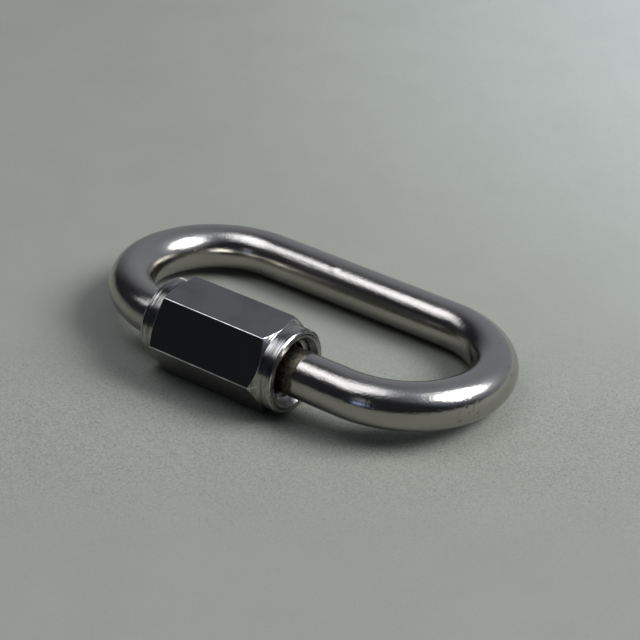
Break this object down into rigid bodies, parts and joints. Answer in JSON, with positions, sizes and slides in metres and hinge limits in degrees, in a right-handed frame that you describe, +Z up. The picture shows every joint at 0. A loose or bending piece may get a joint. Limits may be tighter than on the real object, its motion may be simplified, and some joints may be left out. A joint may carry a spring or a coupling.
{
  "type": "chain quick link",
  "caption": "Oval quick link of round polished bar, closed by a long hexagon nut that screws along the bar to open a gate in its side.",
  "frame": {"origin": "centre of the bounding box, on the ground that the link lies on", "axes": "+X along the nut's axis, the way the nut runs to open; +Y from the nut's side of the oval to its far side; +Z up"},
  "size_m": [0.057, 0.0328, 0.011],
  "materials": {
    "bar_steel": "mirror polished, lightly scuffed",
    "nut_steel": "bright drawn flats, fine turned ends"
  },
  "bodies": {
    "link_body": {"link_body": "bar_steel"},
    "hex_nut": {"hex_nut": "nut_steel"}
  },
  "joints": [
    {"name": "nut_travel", "type": "slide", "parent": "link_body", "child": "hex_nut", "axis": [1, 0, 0], "range_m": [0, 0.01]}
  ]
}
